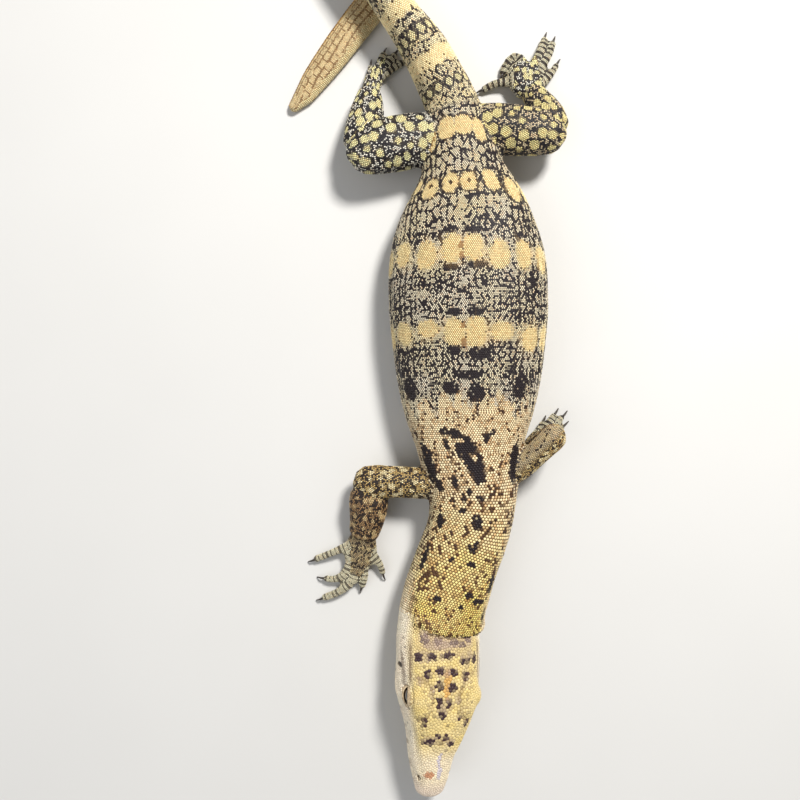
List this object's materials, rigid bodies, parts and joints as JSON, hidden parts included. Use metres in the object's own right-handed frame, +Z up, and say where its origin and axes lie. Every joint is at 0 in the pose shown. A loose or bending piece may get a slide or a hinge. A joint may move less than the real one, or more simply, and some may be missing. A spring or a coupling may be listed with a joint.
{
  "type": "young water monitor lizard",
  "caption": "Young water monitor lizard, life size, lying flat with its head forward, legs spread and tail looped round behind it.",
  "frame": {"origin": "on the floor, under the middle of the whole animal's bounding box", "axes": "+Z up, +Y from the head towards the tail along the body, +X towards the animal's left side"},
  "size_m": [0.0884, 0.3076, 0.0264],
  "materials": {
    "skin": "satin scales, cream and yellow over dark purple-brown",
    "claw": "glossy dark horn",
    "eye": "wet, dark brown"
  },
  "bodies": {
    "root": {"eye_left": "eye", "eye_right": "eye", "foot_left": "skin", "foot_left_claw_1": "claw", "foot_left_claw_2": "claw", "foot_left_claw_3": "claw", "foot_left_claw_4": "claw", "foot_left_claw_5": "claw", "foot_right": "skin", "foot_right_claw_1": "claw", "foot_right_claw_2": "claw", "foot_right_claw_3": "claw", "foot_right_claw_4": "claw", "foot_right_claw_5": "claw", "foreleg_left_lower": "skin", "foreleg_left_upper": "skin", "foreleg_right_lower": "skin", "foreleg_right_upper": "skin", "hand_left": "skin", "hand_left_claw_1": "claw", "hand_left_claw_2": "claw", "hand_left_claw_3": "claw", "hand_left_claw_4": "claw", "hand_left_claw_5": "claw", "hand_right": "skin", "hand_right_claw_1": "claw", "hand_right_claw_2": "claw", "hand_right_claw_3": "claw", "hand_right_claw_4": "claw", "hand_right_claw_5": "claw", "head": "skin", "hindleg_left_lower": "skin", "hindleg_left_upper": "skin", "hindleg_right_lower": "skin", "hindleg_right_upper": "skin", "hips": "skin", "lower_jaw": "skin", "neck": "skin", "shoulders": "skin", "tail_arch": "skin", "tail_end": "skin", "tail_loop_1": "skin", "tail_loop_2": "skin", "tail_loop_3": "skin", "tail_loop_4": "skin", "tail_return": "skin", "tail_root": "skin", "trunk_front": "skin", "trunk_rear": "skin"}
  },
  "joints": []
}
